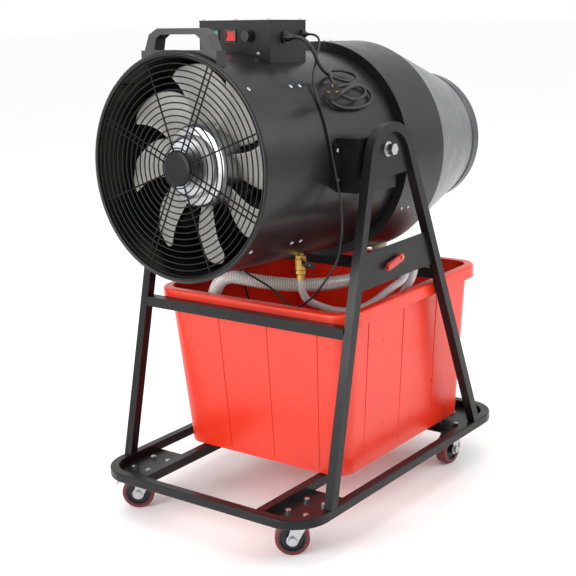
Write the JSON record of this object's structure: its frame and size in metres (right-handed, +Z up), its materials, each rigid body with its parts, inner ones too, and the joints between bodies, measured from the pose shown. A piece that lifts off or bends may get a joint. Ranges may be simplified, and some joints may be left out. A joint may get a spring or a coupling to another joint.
{
  "type": "evaporative cooler",
  "caption": "Misting fan cooler: a tilting drum with inlet guard, control box and outlet cone on A-frames over a water tank on a wheeled base.",
  "frame": {"origin": "Middle of the object's box, on the floor under the wheels.", "axes": "+Z up. +Y towards the outlet of the drum. +X to the right when looking from the inlet towards the outlet, the side with the mains cord."},
  "size_m": [0.66, 1.0418, 1.1824],
  "materials": {
    "black_frame": "semi-gloss powder coat",
    "black_shell": "satin powder coat",
    "red_tank": "glossy moulded polyethylene",
    "zinc": "bright zinc plating",
    "alu": "die-cast",
    "grey_blade": "glass-filled nylon",
    "black_plastic": "satin",
    "brass": "machined",
    "clear_hose": "clear flexible PVC",
    "cord_rubber": "rubber sheath",
    "red_lever": "dipped vinyl",
    "green_rocker": "translucent",
    "red_rocker": "translucent",
    "wheel_red": "polyurethane",
    "beige": "moulded"
  },
  "bodies": {
    "frame": {"base_ring": "black_frame", "base_bars": "black_frame", "corner_plates": "black_frame", "a_frame_left": "black_frame", "a_frame_right": "black_frame", "arch_plates": "black_frame", "side_panels": "black_frame", "crossbars": "black_frame", "caster_plates": "zinc", "frame_bolts": "zinc", "pivot_pins": "zinc", "tank": "red_tank", "pump_body": "black_plastic", "panel_valve": "brass", "supply_hose": "clear_hose", "drain_hose": "clear_hose", "feed_hose": "clear_hose", "pump_cable": "cord_rubber"},
    "drum": {"drum_shell": "black_shell", "mist_barrel": "black_shell", "outlet_cone": "black_shell", "guard_wires": "black_shell", "guard_cap": "black_shell", "motor_stator": "alu", "motor_spider": "black_shell", "atomiser_motor": "alu", "feed_pipe": "brass", "drain_spigot": "beige", "feed_valve": "brass", "pivot_brackets": "black_shell", "carry_handle": "black_plastic", "control_box": "black_shell", "box_lid": "black_shell", "panel_fittings": "black_plastic", "drum_screws": "zinc", "power_cord": "cord_rubber", "power_cord_hank": "cord_rubber", "mains_plug": "black_plastic"},
    "fan": {"fan_rotor": "alu", "fan_blades": "grey_blade"},
    "atomiser": {"atomiser_disc": "grey_blade"},
    "green_switch": {"rocker_green": "green_rocker"},
    "red_switch": {"rocker_red": "red_rocker"},
    "knob": {"speed_knob": "black_plastic"},
    "feed_handle": {"feed_lever": "black_plastic"},
    "panel_handle": {"panel_lever": "red_lever"},
    "swivel_fl": {"fork_fl": "zinc"},
    "wheel_fl": {"core_fl": "black_plastic", "tread_fl": "wheel_red"},
    "swivel_fr": {"fork_fr": "zinc"},
    "wheel_fr": {"core_fr": "black_plastic", "tread_fr": "wheel_red"},
    "swivel_rl": {"fork_rl": "zinc"},
    "wheel_rl": {"core_rl": "black_plastic", "tread_rl": "wheel_red"},
    "swivel_rr": {"fork_rr": "zinc"},
    "wheel_rr": {"core_rr": "black_plastic", "tread_rr": "wheel_red"},
    "brake_fl": {"pedal_fl": "zinc"},
    "brake_rl": {"pedal_rl": "zinc"}
  },
  "joints": [
    {"name": "drum_tilt", "type": "hinge", "parent": "frame", "child": "drum", "pos_m": [0, -0.14094, 0.888], "axis": [1, 0, 0], "range_deg": [0, 15], "deforming": ["drain_hose", "feed_hose", "pump_cable"]},
    {"name": "fan_spin", "type": "hinge", "parent": "drum", "child": "fan", "pos_m": [0, -0.41735, 0.87511], "axis": [0, 0.9979, -0.0645], "continuous": true},
    {"name": "atomiser_spin", "type": "hinge", "parent": "drum", "child": "atomiser", "pos_m": [0, 0.07662, 0.84317], "axis": [0, 0.9979, -0.0645], "continuous": true},
    {"name": "green_rocker", "type": "hinge", "parent": "drum", "child": "green_switch", "pos_m": [-0.06, -0.2766, 1.14559], "axis": [1, 0, 0], "range_deg": [0, 8]},
    {"name": "red_rocker", "type": "hinge", "parent": "drum", "child": "red_switch", "pos_m": [-0.009, -0.2766, 1.14559], "axis": [1, 0, 0], "range_deg": [0, 8]},
    {"name": "speed_turn", "type": "hinge", "parent": "drum", "child": "knob", "pos_m": [0.044, -0.28458, 1.14611], "axis": [0, 0.9979, -0.0645], "range_deg": [0, 280]},
    {"name": "feed_turn", "type": "hinge", "parent": "drum", "child": "feed_handle", "pos_m": [0.114, -0.19292, 0.61117], "axis": [1, 0, 0], "range_deg": [0, 90]},
    {"name": "panel_turn", "type": "hinge", "parent": "frame", "child": "panel_handle", "pos_m": [0.32, -0.11094, 0.634], "axis": [1, 0, 0], "range_deg": [0, 90]},
    {"name": "swivel_fl", "type": "hinge", "parent": "frame", "child": "swivel_fl", "pos_m": [-0.242, -0.40794, 0.0927], "axis": [0, 0, 1], "continuous": true},
    {"name": "roll_fl", "type": "hinge", "parent": "swivel_fl", "child": "wheel_fl", "pos_m": [-0.26958, -0.42949, 0.04], "axis": [0.6157, -0.788, 0], "continuous": true},
    {"name": "swivel_fr", "type": "hinge", "parent": "frame", "child": "swivel_fr", "pos_m": [0.242, -0.40794, 0.0927], "axis": [0, 0, 1], "continuous": true},
    {"name": "roll_fr", "type": "hinge", "parent": "swivel_fr", "child": "wheel_fr", "pos_m": [0.21442, -0.42949, 0.04], "axis": [0.6157, -0.788, 0], "continuous": true},
    {"name": "swivel_rl", "type": "hinge", "parent": "frame", "child": "swivel_rl", "pos_m": [-0.242, 0.24606, 0.0927], "axis": [0, 0, 1], "continuous": true},
    {"name": "roll_rl", "type": "hinge", "parent": "swivel_rl", "child": "wheel_rl", "pos_m": [-0.24687, 0.2114, 0.04], "axis": [0.9903, -0.1392, 0], "continuous": true},
    {"name": "swivel_rr", "type": "hinge", "parent": "frame", "child": "swivel_rr", "pos_m": [0.242, 0.24606, 0.0927], "axis": [0, 0, 1], "continuous": true},
    {"name": "roll_rr", "type": "hinge", "parent": "swivel_rr", "child": "wheel_rr", "pos_m": [0.242, 0.21106, 0.04], "axis": [1, 0, 0], "continuous": true},
    {"name": "brake_fl", "type": "hinge", "parent": "swivel_fl", "child": "brake_fl", "pos_m": [-0.25934, -0.42149, 0.0827], "axis": [0.6157, -0.788, 0], "range_deg": [0, 7]},
    {"name": "brake_rl", "type": "hinge", "parent": "swivel_rl", "child": "brake_rl", "pos_m": [-0.24506, 0.22427, 0.0827], "axis": [0.9903, -0.1392, 0], "range_deg": [0, 7]}
  ]
}
